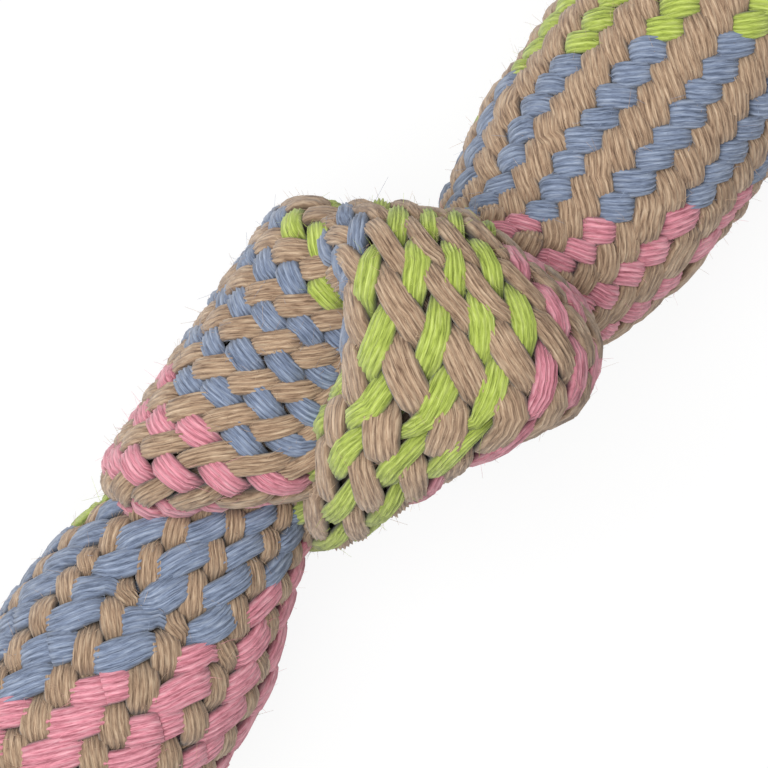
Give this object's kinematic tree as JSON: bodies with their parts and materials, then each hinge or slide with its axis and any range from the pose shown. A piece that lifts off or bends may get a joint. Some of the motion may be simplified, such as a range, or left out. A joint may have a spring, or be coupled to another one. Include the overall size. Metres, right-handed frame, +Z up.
{
  "type": "rope dog toy",
  "caption": "Thick round braided rope tug toy for a dog, with an overhand knot near each end and the strand ends combed out into tassels.",
  "frame": {"origin": "on the floor under the middle of the rope, half way between the two knots", "axes": "+X along the rope from knot a to knot b, +Z up from the floor, +Y completes the right-handed frame"},
  "size_m": [0.3678, 0.064, 0.0445],
  "materials": {
    "hemp": "undyed hemp-brown twisted yarn, matt",
    "core": "undyed filler yarn, matt",
    "blue": "dusty blue twisted yarn, matt",
    "green": "lime green twisted yarn, matt",
    "pink": "pink twisted yarn, matt"
  },
  "bodies": {
    "knot_a": {"knot_a": "hemp"},
    "middle": {"middle_sleeve": "hemp", "middle_core": "core"},
    "knot_b": {"knot_b": "hemp"},
    "tail_a": {"tail_a_sleeve": "hemp", "tail_a_core": "core"},
    "tassel_a": {"tassel_a_blue_lock_1": "blue", "tassel_a_blue_lock_2": "blue", "tassel_a_core_lock_1": "core", "tassel_a_core_lock_2": "core", "tassel_a_core_lock_3": "core", "tassel_a_core_lock_4": "core", "tassel_a_green_lock_1": "green", "tassel_a_green_lock_2": "green", "tassel_a_hemp_lock_1": "hemp", "tassel_a_hemp_lock_2": "hemp", "tassel_a_hemp_lock_3": "hemp", "tassel_a_hemp_lock_4": "hemp", "tassel_a_pink_lock_1": "pink", "tassel_a_pink_lock_2": "pink"},
    "tail_b": {"tail_b_sleeve": "hemp", "tail_b_core": "core"},
    "tassel_b": {"tassel_b_blue_lock_1": "blue", "tassel_b_blue_lock_2": "blue", "tassel_b_core_lock_1": "core", "tassel_b_core_lock_2": "core", "tassel_b_core_lock_3": "core", "tassel_b_core_lock_4": "core", "tassel_b_green_lock_1": "green", "tassel_b_green_lock_2": "green", "tassel_b_hemp_lock_1": "hemp", "tassel_b_hemp_lock_2": "hemp", "tassel_b_hemp_lock_3": "hemp", "tassel_b_hemp_lock_4": "hemp", "tassel_b_pink_lock_1": "pink", "tassel_b_pink_lock_2": "pink"}
  },
  "joints": [
    {"name": "middle_bend_side", "type": "hinge", "parent": "knot_a", "child": "middle", "pos_m": [-0.038, 0, 0.015], "axis": [0, 0, 1], "range_deg": [-45, 45]},
    {"name": "middle_bend_up", "type": "hinge", "parent": "middle", "child": "knot_b", "pos_m": [0.038, 0, 0.015], "axis": [0, 1, 0], "range_deg": [-45, 45]},
    {"name": "tail_a_bend", "type": "hinge", "parent": "knot_a", "child": "tail_a", "pos_m": [-0.102, 0.0113, 0.015], "axis": [0, 0, 1], "range_deg": [-45, 45]},
    {"name": "tassel_a_swing", "type": "hinge", "parent": "tail_a", "child": "tassel_a", "pos_m": [-0.128, 0.0113, 0.015], "axis": [0, 1, 0], "range_deg": [-50, 50]},
    {"name": "tail_b_bend", "type": "hinge", "parent": "knot_b", "child": "tail_b", "pos_m": [0.102, -0.0113, 0.015], "axis": [0, 0, 1], "range_deg": [-45, 45]},
    {"name": "tassel_b_swing", "type": "hinge", "parent": "tail_b", "child": "tassel_b", "pos_m": [0.128, -0.0113, 0.015], "axis": [0, 1, 0], "range_deg": [-50, 50]}
  ]
}
